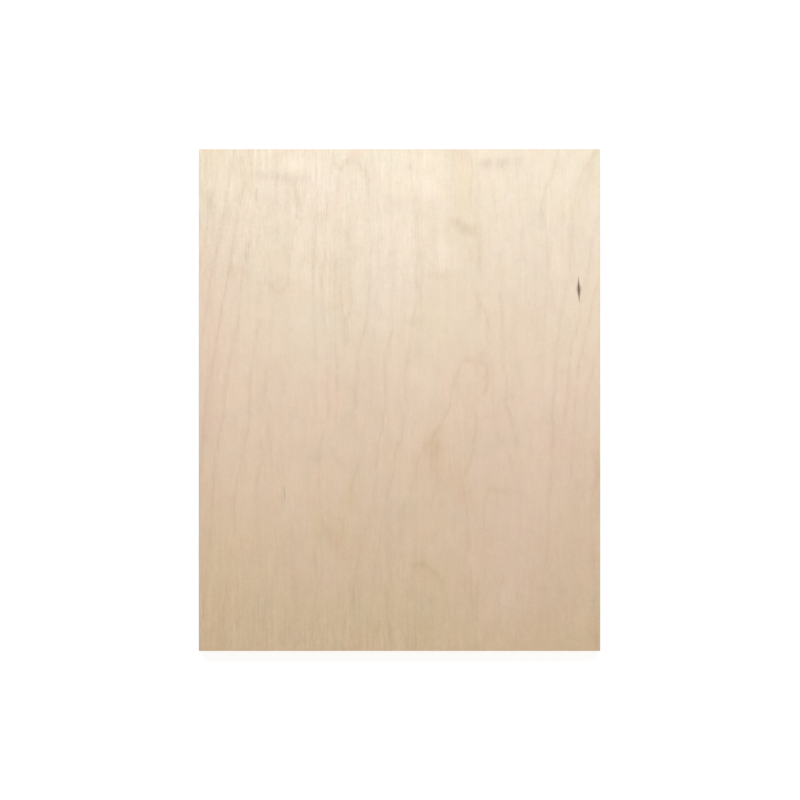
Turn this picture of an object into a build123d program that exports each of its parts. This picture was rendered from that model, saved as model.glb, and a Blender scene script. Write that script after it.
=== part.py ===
from build123d import *
from build123d import SkipClean
import os

# A cut panel of birch plywood, in millimetres, lying on its underside.
# The origin is the centre of the underside. X runs across the grain of the face
# veneers, Y along it, and Z up through the thickness.

# Sawn size of the panel
SHEET_WIDTH = 609.6
SHEET_LENGTH = 762.0

# Layup: a face veneer on each side, sanded thinner than the veneers between them.
# The number of core veneers is odd, so that both faces have their grain along Y.
FACE_PLY = 0.97
CORE_PLY = 1.46
CORE_PLY_COUNT = 11

# The sharp edges left by the saw are broken with sandpaper.
CORNER_ROUND = 0.5
ARRIS_ROUND = 0.3


def layup():
    """Thickness of each veneer, from the underside to the top face."""
    return [FACE_PLY] + [CORE_PLY] * CORE_PLY_COUNT + [FACE_PLY]


def veneer(height, thickness):
    """One veneer, pressed flat, with its underside at this height."""
    outline = RectangleRounded(SHEET_WIDTH, SHEET_LENGTH, CORNER_ROUND)
    return Pos(0, 0, height) * extrude(outline, thickness)


def glued_veneers():
    """The veneers as one solid. The glue lines stay as edges on its sawn sides."""
    veneers = []
    height = 0.0
    for thickness in layup():
        veneers.append(veneer(height, thickness))
        height += thickness
    with SkipClean():
        return Part() + veneers


def plywood_sheet():
    """The panel with the edges of its two faces broken."""
    panel = glued_veneers()
    flat_faces = panel.faces().filter_by(Axis.Z)
    return fillet(flat_faces.edges(), ARRIS_ROUND)


os.makedirs("parts", exist_ok=True)
export_step(plywood_sheet(), "parts/plywood_sheet.step")
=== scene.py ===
import math

import bpy
import numpy as np
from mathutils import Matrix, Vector


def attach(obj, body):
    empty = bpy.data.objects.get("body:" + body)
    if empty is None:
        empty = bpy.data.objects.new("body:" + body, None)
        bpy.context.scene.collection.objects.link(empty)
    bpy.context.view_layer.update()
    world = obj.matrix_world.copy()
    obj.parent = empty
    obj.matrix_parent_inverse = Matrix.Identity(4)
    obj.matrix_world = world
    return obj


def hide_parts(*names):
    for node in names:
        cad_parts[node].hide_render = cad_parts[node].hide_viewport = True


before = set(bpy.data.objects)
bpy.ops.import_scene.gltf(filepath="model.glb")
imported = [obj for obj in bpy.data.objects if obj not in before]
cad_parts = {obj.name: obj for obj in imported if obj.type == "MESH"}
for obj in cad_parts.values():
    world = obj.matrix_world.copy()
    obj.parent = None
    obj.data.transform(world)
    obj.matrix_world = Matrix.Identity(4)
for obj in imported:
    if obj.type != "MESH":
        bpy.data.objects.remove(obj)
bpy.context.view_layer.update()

# A cut panel of birch plywood. Lengths here are millimetres and become metres at the end.
# X runs across the grain of the face veneers, Y along it, and Z up. The origin is the
# centre of the underside.
MM = 0.001

# Sizes of the board, as in the CAD source
SHEET_WIDTH = 609.6
SHEET_LENGTH = 762.0
FACE_PLY = 0.97
CORE_PLY = 1.46
CORE_PLY_COUNT = 11
CORNER_ROUND = 0.5
ARRIS_ROUND = 0.3
THICKNESS = 2 * FACE_PLY + CORE_PLY * CORE_PLY_COUNT

# Division of the mesh. A cell of the underside takes up BACK_STEP cells of the top face each way.
CELLS_ACROSS = 152
CELLS_ALONG = 190
BACK_STEP = 2
ARC_STEPS = 3
ARRIS_STEPS = 3

# The sawn edge: half the height of a glue line, how deep it lies, and how deep the middle of a
# veneer lies
GLUE_HALF = 0.12
GLUE_DEPTH = 0.06
END_GRAIN_SINK = 0.03

# Glue lines stray in waves: (how far, fewest waves round the board, a number that is too many).
GLUE_WAVES = ((0.07, 6, 14), (0.04, 20, 40))
GLUE_SEED = 1306

# Traced growth-ring lines of the top face: (ring, how dark, points from the panel's centre)
RING_LINES = [
    # left of the panel
    (0, 0.7, (-278, 345), (-285, 306), (-289, 280), (-294, 262), (-297, 240)),
    (1, 1.2, (-252, 375), (-256, 349), (-265, 294), (-273, 251)),
    (1, 0.6, (-285, 190), (-294, 135), (-299, 98)),
    (2, 1.1, (-230, 375), (-233, 348), (-239, 318), (-244, 293), (-250, 255)),
    (2, 0.8, (-254, 230), (-257, 205), (-262, 180)),
    (2, 1, (-271, 133), (-277, 92), (-285, 49), (-292, 12), (-297, -40), (-301, -90)),
    (3, 0.8, (-216, 360), (-218, 325), (-217, 305), (-223, 273), (-227, 245), (-233, 218),
     (-238, 190), (-242, 150)),
    (3, 1, (-245, 117), (-248, 103), (-252, 90), (-255, 71), (-259, 56), (-263, 30), (-266, 5),
     (-266, -25), (-271, -38), (-275, -60), (-280, -92), (-282, -122), (-283, -160)),
    (3, 0.8, (-285, -195), (-287, -225), (-291, -252), (-296, -290), (-300, -340)),
    (4, 1, (-212, 121), (-216, 105), (-221, 77), (-225, 45), (-228, 15), (-228, -10), (-229, -36),
     (-233, -58), (-238, -82), (-244, -109)),
    (4, 0.9, (-249, -135), (-252, -160), (-251, -188), (-255, -220)),
    (4, 0.6, (-257, -248), (-262, -285)),
    (4, 1.2, (-268, -318), (-269, -345), (-270, -375)),
    (4, 0.2, (-200, 108), (-190, 96), (-186, 85)),
    (4, 0, (-181, 65), (-174, 20), (-168, -40), (-161, -100), (-154, -170), (-151, -240),
     (-150, -300), (-150, -360)),
    (4, 0.8, (-193, 172), (-185, 161), (-178, 167), (-171, 174)),
    (4, 0.5, (-167, 203), (-165, 225), (-163, 240), (-159, 262)),
    (4, 1.2, (-154, 287), (-156, 303), (-157, 325)),
    (4, 0.2, (-164, 334), (-180, 337), (-195, 338), (-207, 332), (-207, 290), (-206, 230),
     (-203, 190)),
    (5, 1, (-205, 40), (-204, 15)),
    (5, 0, (-208, -20), (-210, -50)),
    (5, 0.8, (-207, -80), (-210, -98), (-213, -109), (-216, -122), (-217, -165)),
    (5, 0.7, (-216, -195), (-214, -210), (-216, -225)),
    (5, 0.3, (-218, -260), (-220, -300), (-223, -350)),
    (5, 0, (-195, 34), (-188, 0), (-180, -50), (-172, -110), (-165, -180), (-162, -250),
     (-162, -320), (-162, -375)),
    (6, 1.2, (-200, -43), (-198, -62)),
    (6, 0.8, (-195, -88), (-189, -110), (-186, -140), (-185, -165), (-188, -195), (-187, -225),
     (-186, -245)),
    (6, 0.5, (-190, -292), (-194, -330), (-196, -360)),
    (6, 0.1, (-193, -46), (-186, -76), (-180, -118), (-175, -175), (-172, -245), (-172, -310),
     (-173, -370)),
    (3, 0.4, (-116, 350), (-119, 320), (-122, 300), (-127, 270), (-131, 252)),
    (3, 0.9, (-129, 218), (-131, 203)),
    (3, 0.4, (-131, 175), (-131, 140), (-130, 112), (-127, 80), (-127, 50)),
    (3, 0.1, (-128, 20), (-132, -10), (-136, -80), (-139, -150), (-136, -220)),
    (3, 0.3, (-129, -268), (-132, -297), (-134, -360)),
    # the long loops left of the middle
    (2, 0.7, (-101, 372), (-103, 352), (-105, 338), (-107, 320), (-109, 298), (-112, 270)),
    (2, 0.5, (-114, 245)),
    (2, 1.1, (-113, 212), (-114, 200)),
    (2, 0.7, (-117, 188), (-117, 160), (-115, 125), (-114, 92), (-110, 62), (-109, 35), (-110, 8),
     (-108, -15), (-109, -30)),
    (2, 0.3, (-114, -52)),
    (2, 0.8, (-120, -70), (-121, -90), (-122, -110), (-119, -160), (-116, -185), (-110, -198),
     (-104, -212), (-96, -223)),
    (2, 0.7, (-90, -212), (-88, -197), (-84, -183), (-80, -168), (-78, -158), (-73, -141),
     (-70, -122), (-64, -102)),
    (2, 0.4, (-58, -62), (-50, -28), (-43, 0), (-43, 25), (-42, 50), (-40, 90), (-39, 125),
     (-35, 160), (-34, 200)),
    (2, 0.5, (-31, 245), (-32, 280), (-35, 312), (-37, 337), (-40, 353), (-41, 374)),
    (1, 0, (-69, 373), (-73, 373)),
    (1, 0.6, (-79, 363), (-85, 356), (-90, 349), (-92, 335), (-94, 318), (-96, 290), (-98, 262)),
    (1, 0.9, (-98, 225), (-98, 190), (-99, 150), (-98, 110), (-95, 60), (-95, 20)),
    (1, 0.3, (-94, 0), (-98, -40)),
    (1, 0.4, (-100, -78), (-96, -90), (-90, -98), (-83, -101), (-76, -96), (-69, -87)),
    (1, 0.1, (-66, -60), (-66, -30)),
    (1, 1, (-67, 0), (-68, 27), (-64, 54), (-60, 80)),
    (1, 0.8, (-54, 103), (-49, 125), (-45, 180), (-44, 230), (-46, 265)),
    (1, 0.9, (-47, 300), (-47, 335), (-50, 341), (-56, 350), (-62, 358)),
    (1, 0.5, (-66, 366)),
    (0, 0.6, (-78, 262), (-82, 238), (-85, 215)),
    (0, 0.4, (-87, 180)),
    (0, 1, (-87, 141), (-85, 120), (-84, 92)),
    (0, 0.9, (-82, 84), (-80, 105), (-78, 130), (-74, 160), (-76, 172)),
    (0, 0.4, (-76, 215), (-76, 245)),
    # the middle
    (3, 0.2, (-14, 375), (-13, 330), (-11, 275)),
    (3, 0.7, (-9, 250), (-11, 215), (-9, 188), (-10, 160), (-12, 140)),
    (3, 0.8, (-11, 120), (-13, 100), (-16, 85), (-21, 66)),
    (3, 1, (-22, 50), (-22, 25), (-22, 0)),
    (3, 0.5, (-23, -20)),
    (3, 1, (-26, -40), (-33, -73), (-34, -90)),
    (3, 0.6, (-36, -115), (-41, -155), (-48, -187), (-58, -222)),
    (3, 1, (-65, -262), (-70, -285), (-72, -308), (-80, -328), (-85, -350), (-87, -375)),
    (4, 0.7, (16, 375), (18, 335), (23, 300), (27, 250), (27, 215), (24, 190), (28, 167), (30, 152),
     (24, 138), (19, 122), (18, 98), (14, 75), (12, 58), (8, 38), (9, 8)),
    (4, 1, (7, -22), (4, -50), (0, -63), (-6, -78), (-8, -95), (-10, -118), (-18, -140),
     (-23, -170), (-28, -203), (-30, -222)),
    (4, 0.7, (-38, -252), (-40, -277), (-42, -310), (-44, -345), (-43, -375)),
    (5, 0.8, (121, 45), (117, 53), (111, 60), (104, 62), (97, 58), (92, 49), (88, 40), (84, 29),
     (80, 20), (78, 8), (78, -5), (75, -14)),
    (5, 1, (69, -25), (63, -36), (56, -49)),
    (5, 0.3, (46, -63), (35, -78)),
    (5, 0.8, (27, -90), (26, -104), (24, -118), (14, -146)),
    (5, 0.6, (5, -168), (3, -190)),
    (5, 0.3, (-3, -215), (-7, -238), (-12, -265), (-16, -297), (-19, -330), (-22, -372)),
    (5, 0.8, (127, 58), (132, 46), (134, 30), (130, 13), (122, 6), (117, 0), (116, -15), (117, -38),
     (116, -52), (112, -68), (111, -84)),
    (5, 1, (106, -97), (102, -108), (96, -118), (97, -138), (101, -160), (103, -185), (103, -205),
     (105, -225)),
    (5, 0.5, (105, -245)),
    (5, 1.3, (108, -275), (109, -300), (112, -335), (114, -370)),
    (6, 1.3, (42, -254), (33, -248), (24, -250), (19, -268)),
    (6, 0.2, (13, -284), (10, -320), (8, -365)),
    (6, 1.4, (56, -265), (63, -275), (67, -290), (71, -308)),
    (6, 0.7, (77, -330), (83, -368)),
    # right of the middle
    (5, 0.9, (150, -137), (140, -134), (133, -143), (129, -161), (128, -180), (129, -209)),
    (5, 0.4, (128, -260), (127, -350)),
    (5, 0.3, (160, -141), (168, -155), (168, -185), (165, -215), (162, -238)),
    (5, 1, (159, -262), (155, -281), (152, -300), (151, -329), (149, -345)),
    (4, 0.6, (84, 375), (82, 345), (83, 315), (84, 296)),
    (4, 0.2, (90, 270), (103, 261), (115, 252), (120, 235), (121, 210), (125, 190), (120, 168)),
    (4, 0.8, (118, 157), (122, 148), (128, 138), (133, 122), (134, 100)),
    (4, 0.1, (137, 70), (143, 25)),
    (4, 0.5, (142, -5), (150, -50), (158, -63), (163, -78), (169, -92), (174, -114)),
    (4, 0, (182, -165), (181, -230), (178, -300), (176, -365)),
    (3, 0.2, (141, 375), (142, 335)),
    (3, 0.8, (143, 308), (147, 290)),
    (3, 0.3, (149, 260), (150, 220), (151, 180)),
    (3, 0.8, (153, 158), (156, 138)),
    (3, 0.5, (156, 112), (156, 90), (157, 60)),
    (3, 0.9, (161, 40), (163, 22), (161, 7), (162, -8), (166, -18), (170, -30), (174, -47)),
    (3, 0.1, (186, -90), (194, -140), (195, -210), (192, -290), (191, -365)),
    (2, 0.6, (176, 374), (178, 358), (180, 335)),
    (2, 0.4, (182, 305), (186, 270), (187, 245)),
    (2, 0.3, (184, 210), (180, 168), (178, 140), (177, 110), (177, 74), (183, 36)),
    (2, 0.1, (186, 0), (192, -50), (200, -110), (206, -180), (205, -260), (204, -350)),
    # right of the panel
    (1, 0.8, (239, 375), (236, 350), (229, 333), (222, 322), (218, 308), (217, 288), (220, 275),
     (223, 260)),
    (1, 0.7, (225, 240), (226, 205), (224, 175), (222, 147)),
    (1, 0.5, (220, 115), (217, 85), (217, 55), (217, 20)),
    (1, 0.1, (215, -20), (214, -80), (216, -150), (216, -220), (214, -300), (213, -370)),
    (0, 0.8, (293, 368), (284, 356), (277, 344), (271, 330), (268, 312), (264, 298), (262, 280),
     (263, 255)),
    (0, 1, (261, 230), (259, 205)),
    (0, 0.8, (255, 180), (250, 152), (246, 132), (243, 112), (241, 90)),
    (0, 0.9, (238, 70), (236, 50), (235, 30), (234, 10)),
    (0, 1.1, (231, -18), (232, -45), (231, -75), (230, -105), (227, -160), (226, -205),
     (223, -238)),
    (0, 0.1, (224, -290), (223, -372)),
    (-1, 0.5, (299, 265), (293, 238)),
    (-1, 1.2, (291, 225)),
    (-1, 0.4, (287, 200), (280, 165), (274, 132)),
    (-1, 1, (268, 107), (263, 93), (260, 72)),
    (-1, 0.7, (258, 50), (257, 22), (254, 0)),
    (-1, 0, (250, -60), (246, -130), (243, -210), (241, -290), (240, -365)),
    (-2, 0.9, (302, 183), (297, 162), (292, 142), (288, 118), (284, 104), (280, 85), (275, 66),
     (271, 48)),
    (-2, 0.9, (269, 30), (268, 8), (266, -15), (264, -45), (260, -110)),
    (-2, 0.4, (262, -180), (259, -240), (255, -285), (252, -350)),
    (-3, 0.5, (301, 75), (295, 47), (289, 25), (284, 5), (284, -15)),
    (-3, 0.1, (283, -60), (281, -120), (280, -180), (281, -250), (282, -350)),
    (-4, 1, (303, -112), (299, -122), (295, -138), (291, -150), (289, -162)),
    (-4, 0.5, (290, -190), (295, -220), (295, -245), (296, -270), (298, -340)),
]

# Places between the ring lines where the ring count turns back: (x, y, count there)
RING_TURNS = [
    (-184, 300, 4.5), (-184, 220, 4.5), (-192, 138, 3.8), (-195, 75, 4.4), (-196, 0, 5.4),
    (-187, -90, 6.1), (-181, -130, 6.2), (-180, -240, 6.4), (-183, -340, 6.5),
    (-81, 215, -0.2), (-81, 150, -0.35), (-82, 50, 0.35), (-82, 0, 0.5), (-83, -50, 0.6),
    (-98, -150, 1.5), (-98, -280, 2.6), (-108, -360, 2.5),
    (50, 350, 4.4), (50, 250, 4.5), (72, 150, 4.6), (95, 90, 4.8), (104, 20, 5.3), (92, -60, 5.5),
    (60, -140, 5.7), (45, -215, 5.8), (42, -300, 6.4), (44, -365, 6.6), (140, -95, 4.6),
    (149, -190, 5.3), (143, -320, 5.3), (117, -150, 4.7),
]

# Figure of the underside, which the photograph doesn't show. Its rings are the contours of long
# low hills on a slope: (x, y, half width, half length, height in rings).
BACK_SLOPE = 1.0 / 46.0
BACK_HILLS = [
    (-178, 130, 66, 330, 5.2),
    (-60, -300, 44, 210, -2.4),
    (38, 60, 60, 250, 3.4),
    (120, 420, 58, 240, -2.6),
    (176, -190, 70, 280, 4.2),
    (-260, -330, 60, 200, 2.0),
    (282, 250, 50, 220, 1.6),
]

# The fit of a smooth sheet through the traced points. The figure changes slowly along the grain,
# so the panel is shortened by GRAIN_STRETCH there. FIT_SCALE is the unit in millimetres, and
# FIT_SLACK lets the sheet pass the points a little. It is worked out in FIT_PARTS parts, and
# the two smallest numbers keep a distance of 0 from doing harm.
GRAIN_STRETCH = 0.4
FIT_SCALE = 100.0
FIT_SLACK = 2e-4
FIT_PARTS = 10
LOG_FLOOR = 1e-9
NEAREST_SOFT = 1e-3

# The least and the greatest distance between rings that the materials reckon with
RING_GAP_RANGE = (9.0, 60.0)

# Soft darker and lighter patches on the top face: (x, y, half width, half length, darker), then how
# much redder and bluer where the hue changes too, and a turn in degrees where a patch lies askew.
# Darker, redder and bluer are in percent of the wood's own colour.
TONE_PATCHES = [
    # left margin
    (-303, 290, 16, 60, 7, 0.5, -1.5), (-292, 200, 26, 70, 4, 1.2, 0, -8),
    (-303, 170, 14, 60, 2, 1.8, -0.5), (-300, 60, 20, 60, 2, 0.4, 0),
    (-298, -60, 24, 90, 3.4, 1.2, -0.8), (-300, -200, 18, 90, 3, 1, -2),
    (-290, -330, 30, 80, 1.8, 0.5, -2.5), (-290, 365, 20, 25, 4, 2, -3.5),
    (-246, 348, 15, 14, 5, 2, -2), (-286, 300, 11, 20, 7, 1.5, -3.5),
    (-288, 327, 7, 9, -7, 1.5, -1.5), (-296, 228, 11, 18, -5, 0, -2.5),
    (-298, 372, 9, 9, -3.5, 0, -0.5), (-300, 105, 10, 14, 3, 1, -1),
    (-250, 196, 30, 9, 4.5, 0.4, -0.5, -14), (-242, 150, 10, 12, -3.2, -1.2, 0),
    (-285, 60, 42, 190, 2.4, 0.9, 0), (-280, 110, 34, 60, 0.4, 1.2, 0.2),
    (-190, -20, 90, 60, 0.8, 0.5, -0.6),
    # far end
    (-235, 368, 8, 8, 5.5), (-251, 234, 5, 12, 5.5, 0, -1), (-181, 338, 34, 7, 8, 1, 0.8, -8),
    (-209, 338, 7, 8, 7, 2, -2), (-146, 337, 7, 8, 7, 0.5, -1.5), (-155, 374, 34, 8, 4, 1.5, 0),
    (-161, 359, 13, 13, -5, 0, 0.5), (-68, 374, 18, 6, 3, 3, 0.5), (-81, 362, 5, 5, 12, 1, -1.5),
    (-95, 356, 8, 4, 9, 0.5, 0, -35), (-87, 350, 5, 8, 7, 0.3, 0),
    (-57, 353, 13, 3.5, 9.5, 0.3, 0.5, -55), (-56, 366, 6, 8, 5, 0.6, 0),
    (-29, 276, 4, 10, 7, -0.5, 0), (-4, 356, 5, 10, 5.5), (-122, 345, 18, 26, -4, 0, 2),
    (-115, 310, 46, 46, -1.2, 0, 2.4), (25, 345, 44, 36, -6, 0, 0.8), (48, 322, 20, 18, -5, 0, 2),
    (146, 360, 24, 9, 6, 0.5, -0.3), (133, 361, 6, 7, 8, 1.5, 0), (132, 350, 11, 11, 3.2, 0.6, 1.2),
    (157, 360, 7, 8, 8.5, 0.5, -0.5), (178, 366, 14, 9, 6.5, 0, 0.5), (165, 318, 6, 12, 6),
    (94, 374, 15, 13, 8, 3.5, -2), (108, 360, 6, 9, 5.5), (100, 300, 14, 44, 2.2, 0, -2.5),
    (96, 335, 14, 48, 1.6, 2, -4.5), (109, 326, 4, 24, 5, 1.2, -1), (92, 290, 8, 14, 0.3, 0, -2.5),
    (200, 318, 3.5, 30, 2.5, 0, -0.5), (204, 273, 3.5, 12, 2.5, 0, -0.5), (212, 317, 6, 12, -6),
    (237, 357, 6, 18, 5.5, 0.4, 0, 4), (300, 376, 8, 10, 8, 2, -4), (292, 345, 14, 26, 6, 0, -2.5),
    (286, 348, 10, 16, 2.2, 1.8, -2), (273, 331, 5, 9, 4, 0.3, -0.5),
    (296, 302, 8, 16, -2.5, 0.3, 0), (288, 256, 6, 10, -5.5), (300, 232, 7, 30, -2.5),
    (270, 305, 8, 22, 1.5, -0.5, -3), (230, 330, 34, 34, -1.5, -0.8, -0.4),
    (220, 240, 76, 100, -0.6, -0.4, 1.8), (265, 305, 18, 34, 0, 0, -1),
    (-250, 290, 26, 38, 1.8, 0.8, -0.3), (-185, 300, 26, 24, 2.4, 1, 1),
    (-152, 307, 6, 16, 7, 0.5, -4.5), (17, 353, 5, 12, 9, 0.3, 0),
    (-4, 300, 15, 11, 5.5, 1.5, -0.5), (20, 303, 9, 7, 3.5, 0.3, -1), (42, 282, 18, 8, 2.5, 0, -1),
    (196, 342, 9, 14, 4.2, 0.8, 1), (255, 319, 8, 12, -3.6, 0, 3), (-230, 310, 7, 12, -5.8),
    (-228, 344, 6, 10, -5.6, 0.4, -0.3), (-228, 250, 7, 12, -5, 0, 0.2), (-101, 377, 6, 7, -6),
    (-20, 310, 8, 8, 5, -0.6, 0), (-143, 234, 6, 11, -4.8, -0.8, -0.4),
    (-96, 229, 8, 10, -4.6, -0.6, 0.3),
    # upper middle
    (-117, 206, 7, 10, 5, 0, -1.2), (-125, 175, 7, 16, -4.4, 0.2, -1.4),
    (-210, 128, 8, 9, -4.4, -0.6, -0.2), (300, 69, 8, 16, -2.6, 0, 1.3),
    (186, 220, 8, 24, 5, 1, -1, -20), (-22, 111, 10, 13, -4.8, 0.2, 0.6),
    (15, 108, 8, 12, -3.4, 0, 0.6), (-15, 238, 9, 16, -4, 0.2, 1.6),
    (-256, 71, 6, 17, 4.6, 1.4, -0.8), (282, 209, 5, 12, -5.5), (299, 178, 6, 12, -5.5),
    (285, 140, 8, 14, -4.5), (217, 162, 6, 12, -5), (226, 122, 9, 12, -3.5, -1, 0),
    (127, 189, 5, 9, 6, 0, -1), (74, 204, 10, 10, -4.5, -1, 2.5), (17, 136, 10, 10, -5, 0, 0.5),
    (-208, 171, 3.5, 24, 4.5, 0, -1, -17), (-185, 230, 20, 35, 1.4, 0, -1.4),
    (-192, 172, 17, 8, 4.5, 2.4, -1.4, -20), (-83, 235, 7, 45, 3, -0.2, -2),
    (-80, 175, 8, 34, 2.4, -0.2, -1.6), (-118, 235, 12, 28, -2.4, 0, 0.8),
    (-150, 110, 46, 70, -2.6, -1, 1), (-100, 100, 60, 60, 0, -1.4, 0),
    (-15, 230, 58, 100, -2.8, -1.2, 2.4), (-50, 145, 36, 50, -2.6, -0.3, 0.8),
    (85, 130, 30, 70, -2, -0.6, 0), (-40, 245, 14, 60, -2.4, -0.8, 1.6),
    (-30, 165, 28, 36, -0.5, -0.9, 2.4), (8, 225, 13, 50, -3, 0, 0.6),
    (85, 271, 10, 6, 10, 2, -3, -30), (99, 260, 15, 8, 10.5, 1.5, -3, -22),
    (114, 262, 9, 5, 4.5, 0, -1), (112, 250, 6, 5, 4.5, 0, -1), (243, 192, 11, 26, -4.2),
    (122, 222, 6, 30, 5, 1.2, -2), (121, 209, 4, 6, 4), (207, 197, 3, 8, 3.5),
    (22, 118, 9, 6, 4, 0, -0.5), (50, 113, 6, 6, 3), (-164, 107, 3.5, 6, 5),
    (118, 140, 8, 20, 2, 0.4, 0), (66, 222, 17, 19, -6, -1.2, 2), (28, 172, 6, 15, 4, 2.2, 0),
    (56, 189, 20, 6, 4.2, 0, -1.2), (42, 152, 18, 7, 2, -0.4, -1),
    (52, 118, 34, 42, 0.4, -1.3, -1.3), (10, 110, 70, 45, 0, -0.8, -0.4),
    (217, 282, 8, 20, 4, 0.3, -1.5), (221, 320, 6, 24, 1.5, 0.8, -2.5),
    (262, 254, 7, 14, 4.5, 0.2, 0), (264, 235, 6, 36, 1, 0.8, -2.5),
    (265, 120, 32, 40, -2.4, -0.8, -0.6), (170, 230, 20, 60, -0.8, -0.3, 0.6),
    # middle
    (30, 30, 12, 17, -4.8, -0.5, 1), (-10, 25, 40, 30, -0.4, -0.5, 1.2),
    (105, 63, 22, 6, 3, 1.6, -0.6), (132, 38, 7, 26, 4.5, 2.6, -1.6),
    (126, 71, 5, 8, 6, 0, -0.5, -25), (129, 12, 5, 6, 3.5), (12, 58, 7, 6, 4, 0, -0.5),
    (-126, 64, 9, 5, 4.5, 0, -0.5, -40), (-180, 69, 3, 7, 4.5), (-165, 60, 22, 11, 1.2),
    (-84, -38, 9, 8, 3), (-126, -87, 9, 8, 3.5, 0, -0.5), (158, -63, 5, 6, 5, 0, -0.5),
    (105, 20, 20, 34, 0.3, 1.2, -1.6), (116, -45, 7, 35, 3, 0.4, 0),
    (-130, 23, 12, 14, 3.5, 0.6, -1), (24, -100, 8, 16, 3.5), (50, -66, 13, 18, 11, 2.8, -7.5, -10),
    (56, -88, 26, 28, 5.8, 2.2, -3.8), (66, -122, 32, 30, 3.6, 1, -2.2),
    (92, -145, 14, 18, 2, 2, -1.5), (145, -38, 36, 46, 3, 0.4, 0.4),
    (138, -86, 28, 26, 0, 0.2, 2.4), (-75, -22, 7, 7, 5.5, 0, -2.5),
    (-74, -139, 8, 28, 4.6, 0.2, -6), (-102, -158, 7, 12, -1.8, 0, 3.5), (65, -158, 6, 8, 5.5),
    (188, -150, 10, 14, 3, 0, -0.8), (300, -154, 8, 14, 3, 0, -1),
    (-115, 15, 20, 26, 0.5, 1.8, 0.6), (240, -75, 56, 50, 1.4, 1, 1.4),
    (235, 25, 56, 44, -0.5, -0.2, 1.4), (282, 45, 18, 56, -2.2), (268, -108, 26, 36, 2.2, 0.4, 0),
    (-25, -175, 36, 60, 2.8), (-197, -79, 8, 16, 4.2, 1, 0.8), (-234, -60, 7, 15, 4.2, 0.6, -1),
    (106, -95, 7, 10, 4.6, 0, -0.9), (24, 42, 12, 12, -2.8, -1, 0.4),
    (-93, -89, 7, 10, 4, 0.2, -2.4), (-30, -55, 10, 12, -3, 0.2, 0.2),
    (-259, -106, 10, 16, 2.6, 0.8, 0.2), (300, -107, 8, 22, 2.6, 0.2, -1),
    # near end
    (-252, -358, 12, 14, -2.8, -0.4, 0), (116, -344, 15, 20, -2.4, -0.4, 0.6),
    (-180, -377, 8, 7, -5, 0.5, -0.5), (138, -374, 10, 10, -4.8, -1, 1.6),
    (20, -312, 9, 12, -4.2, 0.6, -0.8), (78, -362, 11, 15, -3.4, -0.8, 0),
    (-104, -202, 22, 26, 4, 1, -3.6), (-126, -190, 8, 22, 0, 0.8, -3),
    (-83, -200, 6, 26, 1.8, 0.8, -4), (-97, -216, 7, 10, 1.5, 3.5, -0.5),
    (-108, -197, 6, 7, 3, 1, 1), (-262, -215, 34, 40, 0.6, 0.4, -1.8),
    (150, -320, 46, 60, -3.2, 0, 0.4), (272, -318, 13, 46, -4.4), (158, -205, 60, 90, -0.6, 0.4, 2),
    (215, -300, 90, 90, -0.4, 0.2, 1.6), (-108, -262, 18, 22, -1.4, 0.3, 2),
    (152, -136, 18, 5, 4, 0, -1.4, -6), (163, -142, 7, 5, 4.5, 0, -1.5), (163, -158, 8, 10, 1.8),
    (30, -250, 13, 6, 4, 0.2, -2.5), (48, -259, 12, 5, 5, 0.2, -2.8, -35),
    (63, -277, 6, 13, 3.5, 0.2, -2.2, 18), (49, -230, 10, 16, -0.8, 0.2, 3),
    (38, -240, 8, 12, 4, -1.8, -4.5), (68, -262, 7, 12, 0, -1.8, -4), (33, -311, 4, 9, 4),
    (48, -304, 8, 6, 3.5), (41, -350, 9, 22, 3, 0, -1), (57, -352, 4, 24, -4, 0, 0.5),
    (65, -343, 4, 9, 4), (-265, -154, 12, 14, 4, 1.5, -0.7), (-238, -285, 5, 12, -5.5),
    (-81, -320, 4, 10, 5.5), (115, -354, 9, 14, -3.5, -0.5, 1), (-157, -369, 4, 9, 7, 0.5, -1),
    (-79, -292, 4, 7, 4), (-21, -140, 6, 7, 3, 0, -0.5), (-18, -222, 4, 8, 3.5),
    (-7, -233, 3.5, 9, 4, 0, -0.5), (-16, -296, 4, 8, 4, 0, -0.5), (4, -176, 6, 16, 2.5, 0, -0.5),
    (55, -204, 4, 6, 4), (55, -139, 5, 5, 3), (233, -266, 4, 7, 4.5), (217, -286, 10, 6, 3),
    (246, -291, 9, 5, 3.5), (236, -318, 5, 20, 2.5), (244, -368, 4, 10, 5),
    (294, -237, 7, 14, 5, 0.5, -1), (299, -366, 5, 12, 5, 0, -1), (297, -268, 4, 10, 3),
    (40, -275, 15, 18, 1, 1.2, -3.2), (160, -290, 46, 80, -2.4, 0, 2.2),
    (165, -305, 25, 25, -0.6, -1.2, 2.4), (-158, -95, 14, 45, -2, 0, 0.5),
    (302, -110, 8, 70, 7, 1.6, -2.5), (300, -300, 10, 80, 2, 0, -1.5),
    (-40, -335, 130, 40, 0.3, -1.2, -1.9), (-255, -260, 40, 90, 0, 0.5, -2.8),
    (200, -190, 60, 110, -0.2, 0.2, 1.9), (0, 381, 900, 5, 1.2, 0.8, -1.4),
    (0, -381, 900, 5, 1.2, 1.4, -0.8),
]

# Shares of red, green and blue in how bright a colour looks
BRIGHTNESS = (0.299, 0.587, 0.114)


# The figure of the face veneer

def to_fit(x, y):
    return np.stack([x / FIT_SCALE, y * GRAIN_STRETCH / FIT_SCALE], -1)


def squares_apart(points, centres):
    """The square of the distance from each point to each centre."""
    return ((points[:, None, :] - centres[None, :, :]) ** 2).sum(-1)


def spline_kernel(points, centres):
    """How a thin bent sheet answers at each point to a push at each centre."""
    square = squares_apart(points, centres)
    return 0.5 * square * np.log(square + LOG_FLOOR)


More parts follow.
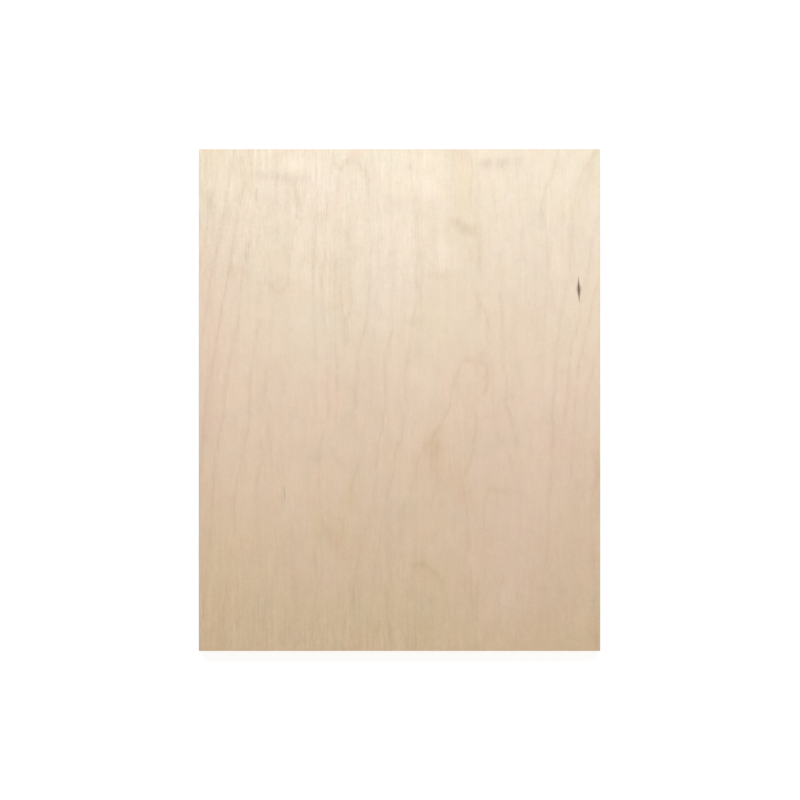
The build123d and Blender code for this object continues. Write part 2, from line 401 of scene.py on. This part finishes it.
def in_parts(answer, x, y):
    """Works through a grid of points a part at a time, so that little memory is needed."""
    parts = np.array_split(to_fit(x.ravel(), y.ravel()), FIT_PARTS)
    return np.concatenate([answer(part) for part in parts]).reshape(x.shape)


def traced_points():
    """Every traced point: x, y, ring, how dark."""
    rows = [(x, y, ring, dark) for ring, dark, *line in RING_LINES for x, y in line]
    return np.array(rows, float)


def ring_count(x, y):
    """Growth rings counted outwards, as a smooth sheet bent through the traced lines."""
    rows = np.vstack([traced_points()[:, :3], RING_TURNS])
    centres = to_fit(rows[:, 0], rows[:, 1])
    count = len(centres)
    plane = np.column_stack([np.ones(count), centres])
    system = np.zeros((count + 3, count + 3))
    system[:count, :count] = spline_kernel(centres, centres) + FIT_SLACK * np.eye(count)
    system[:count, count:] = plane
    system[count:, :count] = plane.T
    weights = np.linalg.solve(system, np.concatenate([rows[:, 2], np.zeros(3)]))

    def height(part):
        flat = np.column_stack([np.ones(len(part)), part])
        return spline_kernel(part, centres) @ weights[:count] + flat @ weights[count:]

    return in_parts(height, x, y)


def ring_darkness(x, y):
    """How dark the ring line near each point is, taken mostly from the nearest traced points."""
    rows = traced_points()
    centres = to_fit(rows[:, 0], rows[:, 1])

    def mean_dark(part):
        near = 1.0 / (squares_apart(part, centres) + NEAREST_SOFT) ** 2
        return near @ rows[:, 3] / near.sum(1)

    return in_parts(mean_dark, x, y)


def ring_gaps(rings):
    """How far apart the rings lie at each grid crossing, in millimetres."""
    slope_x, slope_y = np.gradient(rings, XS, YS)
    return np.clip(1.0 / np.hypot(slope_x, slope_y), *RING_GAP_RANGE)


def hill(across, along, half_width, half_length):
    """A soft round hill, 1 high in its middle."""
    return np.exp(-(across / half_width) ** 2 - (along / half_length) ** 2)


def back_ring_count(x, y):
    total = x * BACK_SLOPE
    for cx, cy, half_width, half_length, height in BACK_HILLS:
        total = total + height * hill(x - cx, y - cy, half_width, half_length)
    return total


def patch_tint(x, y):
    """The patches' change of red, green and blue at each point, as shares of the wood's colour."""
    red_share, green_share, blue_share = BRIGHTNESS
    total = np.zeros(x.shape + (3,))
    for cx, cy, half_width, half_length, darker, *more in TONE_PATCHES:
        redder, bluer, turn = (*more, 0, 0, 0)[:3]
        angle = math.radians(turn)
        across = (x - cx) * math.cos(angle) + (y - cy) * math.sin(angle)
        along = (y - cy) * math.cos(angle) - (x - cx) * math.sin(angle)
        share = hill(across, along, half_width, half_length)
        greener = -(red_share * redder + blue_share * bluer) / green_share
        change = np.array([redder - darker, greener - darker, bluer - darker]) / 100.0
        total += share[..., None] * change
    return total


# The shape of the board

def grid_lines(length, cells):
    """Grid lines across a face. The outermost ones run where the corner rounds begin."""
    lines = np.linspace(-length / 2, length / 2, cells + 1)
    lines[0] += CORNER_ROUND
    lines[-1] -= CORNER_ROUND
    return lines


XS = grid_lines(SHEET_WIDTH, CELLS_ACROSS)
YS = grid_lines(SHEET_LENGTH, CELLS_ALONG)

# The points of the outline are counted anticlockwise: the near side, a corner round, the right
# side and so on. These are the first points of the sides, and how many points there are.
CORNER_COLUMNS = ARC_STEPS - 1
SIDE_STARTS = [0]
for side_cells in (CELLS_ACROSS, CELLS_ALONG, CELLS_ACROSS, CELLS_ALONG):
    SIDE_STARTS.append(SIDE_STARTS[-1] + side_cells + 1 + CORNER_COLUMNS)
_, RIGHT_START, FAR_START, LEFT_START, COLUMNS = SIDE_STARTS


def outline_columns():
    """The points of the outline: the numbers of the grid lines that cross at the centre of each
    one's corner round, and the way out in degrees."""
    last_x, last_y = CELLS_ACROSS, CELLS_ALONG
    sides = [
        [(i, 0) for i in range(last_x + 1)],
        [(last_x, j) for j in range(last_y + 1)],
        [(last_x - i, last_y) for i in range(last_x + 1)],
        [(0, last_y - j) for j in range(last_y + 1)],
    ]
    rows = []
    for k, side in enumerate(sides):
        way = 90.0 * (k - 1)
        rows += [(i, j, way) for i, j in side]
        rows += [(*side[-1], way + 90.0 * step / ARC_STEPS) for step in range(1, ARC_STEPS)]
    columns_i, columns_j, ways = np.array(rows).T
    return columns_i.astype(int), columns_j.astype(int), np.radians(ways)


def glue_heights():
    return [FACE_PLY + CORE_PLY * k for k in range(CORE_PLY_COUNT + 1)]


def edge_profile():
    """The sawn edge from the top face down to the underside: (inset, height)."""
    angles = [math.radians(90.0 * k / ARRIS_STEPS) for k in range(ARRIS_STEPS + 1)]
    arris = [(ARRIS_ROUND * (1 - math.sin(a)), ARRIS_ROUND * (1 - math.cos(a))) for a in angles]
    rows = [(inset, THICKNESS - depth) for inset, depth in arris]
    lines = glue_heights()[::-1]
    for height in lines:
        rows.append((0.0, height + GLUE_HALF))
        rows.append((GLUE_DEPTH, height))
        rows.append((0.0, height - GLUE_HALF))
        if height != lines[-1]:
            rows.append((END_GRAIN_SINK, height - CORE_PLY / 2))
    return rows + arris[::-1]


def glue_wander(run):
    """How far each glue line strays up or down round the board. The faces stay level."""
    rng = np.random.default_rng(GLUE_SEED)
    round_trip = 2 * (SHEET_WIDTH + SHEET_LENGTH)
    level = np.zeros(len(run))
    shifts = [level]
    for _ in glue_heights():
        shift = np.zeros(len(run))
        for size, fewest, too_many in GLUE_WAVES:
            turns = rng.integers(fewest, too_many)
            shift += size * np.sin(2 * math.pi * (turns * run / round_trip + rng.random()))
        shifts.append(shift)
    return np.array(shifts + [level])


def inner_crossings(step):
    """The grid crossings of a face inside its rim, as the numbers of their grid lines."""
    i, j = np.meshgrid(
        range(step, CELLS_ACROSS, step), range(step, CELLS_ALONG, step), indexing="ij"
    )
    return i.ravel(), j.ravel()


def face_cells(first_inner, first_row, step):
    """Cells of a flat face, anticlockwise seen from above. Those on the border take in every
    point of the outline, so that nothing is open."""
    last_x, last_y = CELLS_ACROSS, CELLS_ALONG

    def on_rim(side, i, j):
        return (j == 0, i == last_x, j == last_y, i == 0)[side]

    def column(side, i, j):
        return SIDE_STARTS[side] + (i, j, last_x - i, last_y - j)[side]

    def spot(i, j):
        """The vertex at a grid crossing."""
        for side in range(4):
            if on_rim(side, i, j):
                return first_row + column(side, i, j)
        return first_inner + (i // step - 1) * (last_y // step - 1) + (j // step - 1)

    cells = []
    for i in range(0, last_x, step):
        for j in range(0, last_y, step):
            right, far = i + step, j + step
            ends = [(i, j), (right, j), (right, far), (i, far), (i, j)]
            loop = []
            for side, (begin, end) in enumerate(zip(ends, ends[1:])):
                if on_rim(side, *begin):
                    last = column(side, *end)
                    if on_rim((side + 1) % 4, *end):
                        last += CORNER_COLUMNS
                    loop += [first_row + c for c in range(column(side, *begin), last + 1)]
                else:
                    loop += [spot(*begin), spot(*end)]
            cells.append(list(dict.fromkeys(loop)))
    return cells


# Places on the texture map OFBake: left, low, width and height. The strips of
# the sawn sides also have the step from one to the next.
TOP_MAP = (0.004, 0.004, 0.616, 0.770)
BACK_MAP = (0.630, 0.004, 0.360, 0.450)
STRIP_MAP = (0.004, 0.785, 0.992, 0.045, 0.052)


def flat_map(points, rect, mirrored):
    left, low, width, height = rect
    across = points[:, 0] / SHEET_WIDTH + 0.5
    if mirrored:
        across = 1.0 - across
    along = points[:, 1] / SHEET_LENGTH + 0.5
    return np.column_stack([left + width * across, low + height * along])


def edge_map(run, lengths, profile):
    """Where each edge face lies on the map: one strip for each side and the corner after it."""
    left, low, width, height, pitch = STRIP_MAP
    climb = np.cumsum(np.hypot(*np.diff(np.array(profile), axis=0).T))
    heights = height * (1.0 - np.concatenate([[0.0], climb]) / climb[-1])
    corners = np.zeros((len(profile) - 1, COLUMNS, 4, 2))
    for k, (a, b) in enumerate(zip(SIDE_STARTS, SIDE_STARTS[1:])):
        begin = run[a]
        total = (run[b] if b < COLUMNS else run[-1] + lengths[-1]) - begin
        u0 = left + width * (run[a:b] - begin) / total
        u1 = left + width * (run[a:b] + lengths[a:b] - begin) / total
        v = low + pitch * k + heights
        places = [(u0, v[:-1]), (u0, v[1:]), (u1, v[1:]), (u1, v[:-1])]
        for corner, (u, level) in enumerate(places):
            pair = np.broadcast_arrays(u[None, :], level[:, None])
            corners[:, a:b, corner] = np.stack(pair, -1)
    return corners.reshape(-1, 2)


def placed(name, data):
    """A new object in the scene."""
    thing = bpy.data.objects.new(name, data)
    bpy.context.scene.collection.objects.link(thing)
    return thing


# The board's materials in order
TOP_FACE, BACK_FACE, LONG_EDGE, END_EDGE = range(4)


def board(materials):
    """The board as one closed mesh, with the figure's fields on its vertices."""
    columns_i, columns_j, ways = outline_columns()
    base = np.column_stack([XS[columns_i], YS[columns_j]])
    outward = np.column_stack([np.cos(ways), np.sin(ways)])
    outer = base + outward * CORNER_ROUND
    lengths = np.hypot(*(np.roll(outer, -1, axis=0) - outer).T)
    run = np.concatenate([[0.0], np.cumsum(lengths)[:-1]])

    # The rows of the sawn edge, then the inner points of the top face and of the underside
    profile = edge_profile()
    levels = [0.0] + glue_heights() + [THICKNESS]
    wander = glue_wander(run)
    points = []
    plies = []
    for inset, height in profile:
        shift = [np.interp(height, levels, stray) for stray in wander.T]
        spots = base + outward * (CORNER_ROUND - inset)
        points.append(np.column_stack([spots, height + np.array(shift)]))
        plies.append(np.full(COLUMNS, np.interp(height, levels, range(len(levels)))))
    top_i, top_j = inner_crossings(1)
    back_i, back_j = inner_crossings(BACK_STEP)
    points.append(np.column_stack([XS[top_i], YS[top_j], np.full(len(top_i), THICKNESS)]))
    points.append(np.column_stack([XS[back_i], YS[back_j], np.zeros(len(back_i))]))
    plies += [np.full(len(top_i), len(levels) - 1.0), np.zeros(len(back_i))]
    points = np.vstack(points)

    edge_rows = len(profile) - 1
    edge_points = len(profile) * COLUMNS
    edge = []
    for r in range(edge_rows):
        for c in range(COLUMNS):
            upper, lower, after = r * COLUMNS, (r + 1) * COLUMNS, (c + 1) % COLUMNS
            edge.append((upper + c, lower + c, lower + after, upper + after))
    top = face_cells(edge_points, 0, 1)
    back = face_cells(edge_points + len(top_i), edge_rows * COLUMNS, BACK_STEP)
    back = [cell[::-1] for cell in back]

    mesh = bpy.data.meshes.new("birch_plywood_sheet")
    mesh.from_pydata((points * MM).tolist(), [], edge + top + back)
    for material in materials:
        mesh.materials.append(material)

    # Which material each face has, and which faces are shaded smooth
    strip = np.full(COLUMNS, END_EDGE)
    strip[RIGHT_START:FAR_START] = LONG_EDGE
    strip[LEFT_START:] = LONG_EDGE
    slots = [np.tile(strip, edge_rows), np.full(len(top), TOP_FACE), np.full(len(back), BACK_FACE)]
    mesh.polygons.foreach_set("material_index", np.concatenate(slots).astype("int32"))
    arris = np.zeros((edge_rows, COLUMNS), bool)
    arris[:ARRIS_STEPS] = True
    arris[-ARRIS_STEPS:] = True
    inner = [min(cell) >= edge_points for cell in top]
    smooth = np.concatenate([arris.ravel(), inner, np.zeros(len(back), bool)])
    mesh.polygons.foreach_set("use_smooth", smooth)

    # The fields that the materials draw the figure from
    grid = np.meshgrid(XS, YS, indexing="ij")
    rings = ring_count(*grid)
    back_rings = back_ring_count(*grid)
    at_i = np.concatenate([np.tile(columns_i, len(profile)), top_i, back_i])
    at_j = np.concatenate([np.tile(columns_j, len(profile)), top_j, back_j])
    fields = {
        "ring": rings[at_i, at_j],
        "ring_gap": ring_gaps(rings)[at_i, at_j],
        "ring_dark": ring_darkness(*grid)[at_i, at_j],
        "back_ring": back_rings[at_i, at_j],
        "back_ring_gap": ring_gaps(back_rings)[at_i, at_j],
        "ply": np.concatenate(plies),
    }
    for name, values in fields.items():
        layer = mesh.attributes.new(name, "FLOAT", "POINT")
        layer.data.foreach_set("value", values.astype("float32"))
    tints = patch_tint(*grid)[at_i, at_j]
    layer = mesh.attributes.new("tone_patch", "FLOAT_VECTOR", "POINT")
    layer.data.foreach_set("vector", tints.astype("float32").ravel())

    # The texture map OFBake
    top_places = flat_map(points[np.concatenate(top)], TOP_MAP, False)
    back_places = flat_map(points[np.concatenate(back)], BACK_MAP, True)
    places = np.vstack([edge_map(run, lengths, profile), top_places, back_places])
    layer = mesh.uv_layers.new(name="OFBake")
    layer.data.foreach_set("uv", places.astype("float32").ravel())

    mesh.validate()
    mesh.update()
    return placed("birch_plywood_sheet", mesh)


# Materials

GLOSS = 0.25
WHITE = (1.0, 1.0, 1.0, 1.0)

# Each noise is moved by its seed times this, so that none is like another.
NOISE_STEPS = (17.3, 5.9, 3.1)


class Net:
    """A tree of shader nodes, with short ways to add them and to join them."""

    def __init__(self, owner):
        owner.use_nodes = True
        self.tree = owner.node_tree

    def node(self, kind, **settings):
        node = self.tree.nodes.new("ShaderNode" + kind)
        for name, value in settings.items():
            setattr(node, name, value)
        return node

    def feed(self, socket, value):
        if isinstance(value, bpy.types.NodeSocket):
            self.tree.links.new(value, socket)
        else:
            socket.default_value = value

    def fed(self, node, *values):
        """The first output of a node whose inputs get these values in order."""
        for socket, value in zip(node.inputs, values):
            self.feed(socket, value)
        return node.outputs[0]

    def math(self, operation, *values):
        return self.fed(self.node("Math", operation=operation), *values)

    def vector(self, operation, *values):
        return self.fed(self.node("VectorMath", operation=operation), *values)

    def times(self, a, b):
        return self.math("MULTIPLY", a, b)

    def sum(self, start, *parts):
        """A number or field, and fields added to it, each times its share."""
        for field, share in parts:
            start = self.math("MULTIPLY_ADD", field, share, start)
        return start

    def rise(self, value, low, high, first=0.0, last=1.0):
        """The first number before low, the last beyond high, and smooth between them."""
        node = self.node("MapRange", interpolation_type="SMOOTHSTEP")
        return self.fed(node, value, low, high, first, last)

    def made(self, kind, **inputs):
        """The first output of a new node with these inputs."""
        node = self.node(kind)
        for name, value in inputs.items():
            self.feed(node.inputs[name], value)
        return node.outputs[0]

    def show(self, output, seen, lit):
        """One shader for the camera and for what gloss or glass shows, the other for light."""
        rays = self.node("LightPath").outputs
        direct = self.math("MAXIMUM", rays["Is Camera Ray"], rays["Is Glossy Ray"])
        direct = self.math("MAXIMUM", direct, rays["Is Transmission Ray"])
        surface = self.fed(self.node("MixShader"), direct, lit, seen)
        self.feed(self.node(output).inputs["Surface"], surface)


class Wood(Net):
    """A wood material, written as sums of fields over the surface in millimetres."""

    def __init__(self, name):
        self.material = bpy.data.materials.new(name)
        super().__init__(self.material)
        self.shader = self.tree.nodes["Principled BSDF"]
        self.shader.inputs["Specular IOR Level"].default_value = GLOSS
        place = self.node("TexCoord").outputs["Object"]
        self.place = self.vector("MULTIPLY", place, (1.0 / MM,) * 3)
        split = self.node("SeparateXYZ")
        self.feed(split.inputs[0], self.place)
        self.x, self.y, _ = split.outputs

    def field(self, name):
        return self.node("Attribute", attribute_name=name).outputs["Fac"]

    def noise(self, seed, *sizes, detail=2.0, place=None):
        """Noise from about -1 to 1 with spots of these sizes along X, Y and Z, in millimetres.
        It doesn't change along an axis whose size is 0 or left out."""
        spread = [1.0 / size if size else 0.0 for size in sizes + (0,) * (3 - len(sizes))]
        shift = [seed * step for step in NOISE_STEPS]
        shifted = self.vector("MULTIPLY_ADD", place or self.place, spread, shift)
        noise = self.made("TexNoise", Vector=shifted, Scale=1.0, Detail=detail)
        return self.sum(-1.0, (noise, 2.0))

    def bell(self, distance, width):
        """1 where the distance is 0, falling off smoothly over this width."""
        square = self.times(distance, distance)
        return self.math("EXPONENT", self.times(square, -1.0 / width ** 2))

    def saw(self, value):
        """From -0.5 to 0.5 between each whole number and the next."""
        return self.math("SUBTRACT", self.math("FRACT", value), 0.5)

    def soft_lines(self, distance, lines):
        """Soft lines on top of each other, each with a width and a strength."""
        return self.sum(0.0, *[(self.bell(distance, width), share) for width, share in lines])

    def ground(self, stops):
        """The colour along the panel, from the near end to the far end: the wood's tone, and on the
        top face painted shade as well.
        """
        node = self.node("ValToRGB")
        elements = node.color_ramp.elements
        while len(elements) < len(stops):
            elements.new(0.5)
        for element, (place, colour) in zip(elements, stops):
            element.position = place
            element.color = (*colour, 1.0)
        return self.fed(node, self.sum(0.5, (self.y, 1.0 / SHEET_LENGTH)))

    def tinted(self, *parts):
        """White, changed by fields, each times its share and its tint."""
        total = (1.0, 1.0, 1.0)
        for field, share, tint in parts:
            total = self.vector("MULTIPLY_ADD", field, [share * part for part in tint], total)
        return total

    def mixed(self, share, first, second):
        """The first colour where the share is 0 and the second where it is 1."""
        node = self.node("Mix", data_type="RGBA")
        self.feed(node.inputs[0], share)
        self.feed(node.inputs[6], first)
        self.feed(node.inputs[7], second)
        return node.outputs[2]

    def bump(self, height, depth):
        """Relief of this depth in millimetres, from a height field of about -1 to 1."""
        relief = self.made("Bump", Strength=1.0, Distance=depth * MM, Height=height)
        self.feed(self.shader.inputs["Normal"], relief)

    def finish(self, colour, roughness):
        self.feed(self.shader.inputs["Base Color"], colour)
        self.feed(self.shader.inputs["Roughness"], roughness)
        return self.material


# Colours of the faces along the panel, from the near end to the far end. On the top face they are
# partly the wood's own tone and partly painted light and shade: lighter towards the far end, darker
# towards the near end.
FACE_TONE_AND_PAINTED_SHADE = [
    (0.0, (0.703, 0.524, 0.343)),
    (0.5, (0.801, 0.626, 0.476)),
    (1.0, (0.826, 0.724, 0.574)),
]
BACK_COLOURS = [(0.0, (0.800, 0.632, 0.440)), (1.0, (0.820, 0.670, 0.490))]

# What a dark spot takes from red, green and blue, and how the hue wanders
RING_TINT = (-0.75, -1.0, -1.2)
FACE_TINT = (-0.90, -1.0, -1.17)
BACK_TINT = (-0.92, -1.0, -1.1)
CLOUD_TINT = (-0.9, -1.0, -1.2)
HUE_TINT = (0.3, -0.1, -1.0)
BACK_HUE_TINT = (0.3, -0.2, -1.0)
BLUSH_TINT = (1.0, -0.5, 0.2)
EDGE_TINT = (-0.8, -1.0, -1.2)
PIT_TINT = (-0.9, -1.0, -1.1)

# Ring lines: (width, strength). On the side where the count is higher the wood stays a little
# darker over about LATE_WOOD. It begins softly, from LATE_EDGE before the line to as far past it.
FACE_LINES = ((2.3, 0.056), (4.5, 0.016))
BACK_LINES = ((2.2, 0.056), (5.5, 0.018))
LATE_EDGE = 1.2
LATE_WOOD = 6.0
LATE_STRENGTH = 0.012

# Faint lines: how many from one ring to the next, and their width
FAINT_LINES = 3.0
FAINT_WIDTH = 1.3

# Dark marks: (middle, half width, length of the belly, half width of the tips, half length, lean)
STREAK = ((272.3, 168.0), 2.7, 7.8, 1.15, 22.0, -0.04)
STREAK_SHARE = 0.92
HAIRLINE = ((-174.6, -142.5), 0.7, 8.0, 0.6, 14.0, -0.045)
HAIRLINE_SHARE = 0.33
MARK_COLOUR = (0.095, 0.050, 0.012, 1.0)
THINNEST = 0.05

# The sawn edge
LONG_GRAIN = (0.830, 0.655, 0.445, 1.0)
END_GRAIN = (0.650, 0.448, 0.262, 1.0)
GLUE_COLOUR = (0.200, 0.115, 0.060, 1.0)
GLUE_SHARE = 0.75
GLUE_BLUR = 0.13
VENEERS_APART = 50.0


def sliver(net, middle, half_width, belly, tip, half_length, lean):
    """A dark streak along the grain with a short belly and thin tips: how dark, from 0 to 1."""
    cx, cy = middle
    along = net.math("SUBTRACT", net.y, cy)
    across = net.math("SUBTRACT", net.x, net.sum(cx, (along, lean)))
    reach = net.times(along, 1.0 / half_length)
    taper = net.math("MAXIMUM", net.math("SUBTRACT", 1.0, net.times(reach, reach)), 0.0)
    width = net.sum(THINNEST, (taper, tip), (net.bell(along, belly), half_width - tip))
    ratio = net.math("DIVIDE", across, width)
    return net.times(net.bell(ratio, 1.0), net.math("SQRT", taper))


def face_veneer():
    """Sanded birch with the traced growth rings, fine pores, soft patches, a mineral streak, and
    painted shade that darkens it towards the near end.
    """
    net = Wood("birch_face_veneer")
    gap = net.field("ring_gap")
    strands = net.noise(7, 1.5, 17)
    fibres = net.noise(12, 4.2, 48)
    grit = net.noise(19, 3, 4, detail=1.0)
    flecks = net.noise(13, 5, 5)
    mottle = net.noise(6, 15, 30)
    crossed = net.noise(15, 28, 13)
    cloud = net.noise(5, 60, 110)
    runs = net.noise(16, 9, 420, detail=1.0)
    hue = net.noise(8, 24, 46, detail=3.0)
    blush = net.noise(18, 16, 40, detail=3.0)

    # The ring lines waver, and they are weaker here and there and towards the near end.
    wobble = net.sum(0.0, (net.noise(1, 18, 70), 1.0), (net.noise(2, 5, 24), 1.2), (strands, 1.1))
    count = net.math("ADD", net.field("ring"), net.math("DIVIDE", wobble, gap))
    distance = net.times(net.saw(net.math("ADD", count, 0.5)), gap)
    beyond = net.math("MAXIMUM", distance, 0.0)
    fade = net.math("EXPONENT", net.times(beyond, -1.0 / LATE_WOOD))
    late = net.times(net.rise(distance, -LATE_EDGE, LATE_EDGE), fade)
    breaks = net.sum(0.85, (net.noise(3, 9, 34), 0.6), (strands, 1.5))
    strength = net.times(net.field("ring_dark"), net.math("MAXIMUM", breaks, 0.0))
    strength = net.times(strength, net.rise(net.y, -240.0, -30.0, 0.55, 1.0))
    rings = net.sum(net.soft_lines(distance, FACE_LINES), (late, LATE_STRENGTH))
    rings = net.times(rings, strength)

    # Faint lines between the rings
    between = net.times(net.saw(net.times(count, FAINT_LINES)), gap)
    faint = net.bell(net.times(between, 1.0 / FAINT_LINES), FAINT_WIDTH)
    faint = net.times(faint, net.rise(net.noise(14, 16, 70), -0.05, 0.45))

    # The texture is stronger towards both ends, most of all on the left.
    left = net.rise(net.x, 90.0, -10.0)
    far = net.times(net.rise(net.y, 110.0, 240.0), net.sum(0.35, (left, 0.65)))
    lower = net.rise(net.y, -130.0, -360.0)
    foot = net.bell(net.math("ADD", net.x, 70.0), 130.0)
    foot = net.times(net.rise(net.y, -310.0, -360.0), foot)
    head = net.times(net.rise(net.y, 310.0, 360.0), left)
    ends = net.sum(0.80, (far, 1.0), (lower, left), (foot, 1.0), (head, 0.35))
    clusters = net.rise(net.noise(17, 26, 110), -0.2, 0.4, 0.55, 1.45)
    fine = net.sum(0.0, (strands, net.sum(0.036, (left, 0.010))), (fibres, 0.042))
    fine = net.sum(net.times(fine, clusters), (faint, 0.024), (runs, 0.032))
    coarse = net.times(flecks, net.sum(0.046, (lower, 0.026)))
    coarse = net.sum(coarse, (grit, 0.020), (mottle, 0.052), (crossed, 0.024))
    texture = net.sum(net.times(fine, ends), (coarse, net.sum(0.95, (far, 0.35))))

    total = net.tinted(
        (rings, 1.0, RING_TINT),
        (texture, 1.0, FACE_TINT),
        (cloud, 0.030, CLOUD_TINT),
        (hue, 0.050, HUE_TINT),
        (blush, 0.026, BLUSH_TINT),
    )
    tone_patch = net.node("Attribute", attribute_name="tone_patch").outputs["Vector"]
    streaky = net.sum(1.0, (net.noise(10, 4, 26), 0.9))
    total = net.vector("MULTIPLY_ADD", tone_patch, streaky, total)
    # The ramp holds painted shade as well as the wood's tone: darker towards the near end, lighter
    # towards the far end.
    colour = net.vector("MULTIPLY", net.ground(FACE_TONE_AND_PAINTED_SHADE), total)
    marks = net.times(sliver(net, *STREAK), STREAK_SHARE)
    marks = net.sum(marks, (sliver(net, *HAIRLINE), HAIRLINE_SHARE))
    net.bump(net.times(strands, 0.6), 0.012)
    return net.finish(net.mixed(marks, colour, MARK_COLOUR), net.sum(0.66, (strands, 0.06)))


def back_veneer():
    """The underside: the same sanded birch, a grade plainer, with rings in long loops."""
    net = Wood("birch_back_veneer")
    gap = net.field("back_ring_gap")
    strands = net.noise(23, 1.6, 26)
    fibres = net.noise(26, 4.5, 60)
    mottle = net.noise(27, 16, 34)
    cloud = net.noise(24, 60, 130, detail=3.0)
    hue = net.noise(25, 36, 80, detail=3.0)

    wobble = net.sum(0.0, (net.noise(21, 20, 80), 3.0), (net.noise(28, 6, 30), 2.4), (strands, 1.6))
    count = net.math("ADD", net.field("back_ring"), net.math("DIVIDE", wobble, gap))
    distance = net.times(net.saw(count), gap)
    breaks = net.sum(0.75, (net.noise(22, 12, 60), 1.2), (strands, 1.8))
    rings = net.times(net.soft_lines(distance, BACK_LINES), net.math("MAXIMUM", breaks, 0.0))
    texture = net.sum(0.0, (strands, 0.055), (fibres, 0.045), (mottle, 0.045))
    total = net.tinted(
        (rings, 1.0, RING_TINT),
        (texture, 1.0, BACK_TINT),
        (cloud, 0.05, CLOUD_TINT),
        (hue, 0.05, BACK_HUE_TINT),
    )
    colour = net.vector("MULTIPLY", net.ground(BACK_COLOURS), total)
    net.bump(strands, 0.015)
    return net.finish(colour, net.sum(0.70, (strands, 0.06)))


def sawn_edge(name, along_y):
    """The sawn side: long grain and end grain in turn, with dark glue lines between them."""
    net = Wood(name)
    ply = net.field("ply")
    layer = net.math("FLOOR", ply)
    odd = net.math("MODULO", layer, 2.0)
    even = net.math("SUBTRACT", 1.0, odd)
    end_grain, long_grain = (odd, even) if along_y else (even, odd)
    off_line = net.math("SUBTRACT", 0.5, net.math("ABSOLUTE", net.saw(ply)))
    glue = net.bell(net.times(off_line, CORE_PLY), GLUE_BLUR)

    # Every veneer has a noise of its own.
    along = net.y if along_y else net.x
    height = net.times(ply, CORE_PLY)
    place = net.fed(net.node("CombineXYZ"), along, height, net.times(layer, VENEERS_APART))
    tone = net.noise(31, 240, 0, 9, detail=1.0, place=place)
    bundles = net.noise(34, 5, 1.2, 9, place=place)
    fibres = net.times(net.noise(32, 40, 0.35, 9, place=place), long_grain)
    pits = net.times(net.noise(33, 0.45, 0.5, 9, place=place), end_grain)
    total = net.tinted(
        (tone, 0.16, EDGE_TINT),
        (bundles, 0.12, EDGE_TINT),
        (fibres, 0.16, EDGE_TINT),
        (pits, 0.26, PIT_TINT),
    )
    colour = net.vector("MULTIPLY", net.mixed(end_grain, LONG_GRAIN, END_GRAIN), total)
    colour = net.mixed(net.times(glue, GLUE_SHARE), colour, GLUE_COLOUR)
    net.bump(net.math("ADD", pits, fibres), 0.04)
    return net.finish(colour, net.sum(0.6, (end_grain, 0.15)))


# The surroundings

FLOOR_DROP = 0.5
FLOOR_HALF = 20000.0
FLOOR_PAINT = (0.80, 0.80, 0.80, 1.0)
FLOOR_GLOW = 0.70
FLOOR_MATT = 0.54
WORLD_LIGHT = 0.48

# Between these distances from the board, in metres, the floor fades into the world.
FADE_START = 0.8
FADE_END = 2.2

# Lamps that look at the board: place and size in metres, and power in watts
LAMPS = {
    "window": ((0.0, 1.5, 1.3), (2.6, 1.0), 34.0),
    "fill": ((0.5, -2.6, 0.5), (2.4, 0.8), 12.0),
}


def studio_world():
    """White where it is seen, and an even light of its own strength on the board."""
    world = bpy.data.worlds.new("studio")
    bpy.context.scene.world = world
    net = Net(world)
    net.tree.nodes.clear()
    light = net.made("Background", Color=WHITE, Strength=WORLD_LIGHT)
    white = net.made("Background", Color=WHITE, Strength=1.0)
    net.show("OutputWorld", white, light)


def studio_floor():
    """A white floor that keeps the board's soft shadow and fades into the white world."""
    half, drop = FLOOR_HALF * MM, -FLOOR_DROP * MM
    mesh = bpy.data.meshes.new("floor")
    corners = [(-half, -half, drop), (half, -half, drop), (half, half, drop), (-half, half, drop)]
    mesh.from_pydata(corners, [], [(0, 1, 2, 3)])
    material = bpy.data.materials.new("white_floor")
    mesh.materials.append(material)
    net = Net(material)
    net.tree.nodes.clear()
    length = net.node("VectorMath", operation="LENGTH")
    net.feed(length.inputs[0], net.node("TexCoord").outputs["Object"])
    radius = length.outputs["Value"]
    brightness = net.rise(radius, FADE_START, FADE_END, FLOOR_GLOW, 1.0)
    greyness = net.rise(radius, FADE_START, FADE_END, FLOOR_MATT, 0.0)
    glow = net.made("Emission", Color=WHITE, Strength=brightness)
    matt = net.made("BsdfDiffuse", Color=greyness)
    plain = net.made("BsdfDiffuse", Color=FLOOR_PAINT)
    net.show("OutputMaterial", net.fed(net.node("AddShader"), glow, matt), plain)
    floor = placed("floor", mesh)


def soft_lamps():
    for name, (place, size, watts) in LAMPS.items():
        data = bpy.data.lights.new(name, "AREA")
        data.shape = "RECTANGLE"
        data.size, data.size_y = size
        data.energy = watts
        lamp = placed(name, data)
        lamp.location = place
        lamp.rotation_euler = (-Vector(place)).to_track_quat("-Z", "Y").to_euler()


# In the photograph the panel is 403 by 500 pixels of 800 and its centre is half a pixel
# left of the middle. The camera sees as far as VIEW_REACH, in metres.
FRAME_WIDTH = 1214.7
FRAME_PIXELS = 800
CENTRE_OFF = 0.5
LENS = 100.0
SENSOR = 36.0
VIEW_REACH = 100.0


def straight_down_camera():
    data = bpy.data.cameras.new("camera")
    data.lens = LENS
    data.sensor_width = SENSOR
    data.clip_end = VIEW_REACH
    camera = placed("camera", data)
    distance = FRAME_WIDTH * LENS / SENSOR
    aside = CENTRE_OFF * FRAME_WIDTH / FRAME_PIXELS
    camera.location = (aside * MM, 0.0, (THICKNESS + distance) * MM)
    bpy.context.scene.camera = camera


sheet = board([
    face_veneer(),
    back_veneer(),
    sawn_edge("birch_long_edge", True),
    sawn_edge("birch_end_edge", False),
])
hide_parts("plywood_sheet")
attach(sheet, "root")

studio_world()
studio_floor()
soft_lamps()
straight_down_camera()

bpy.context.scene.view_settings.view_transform = "Standard"
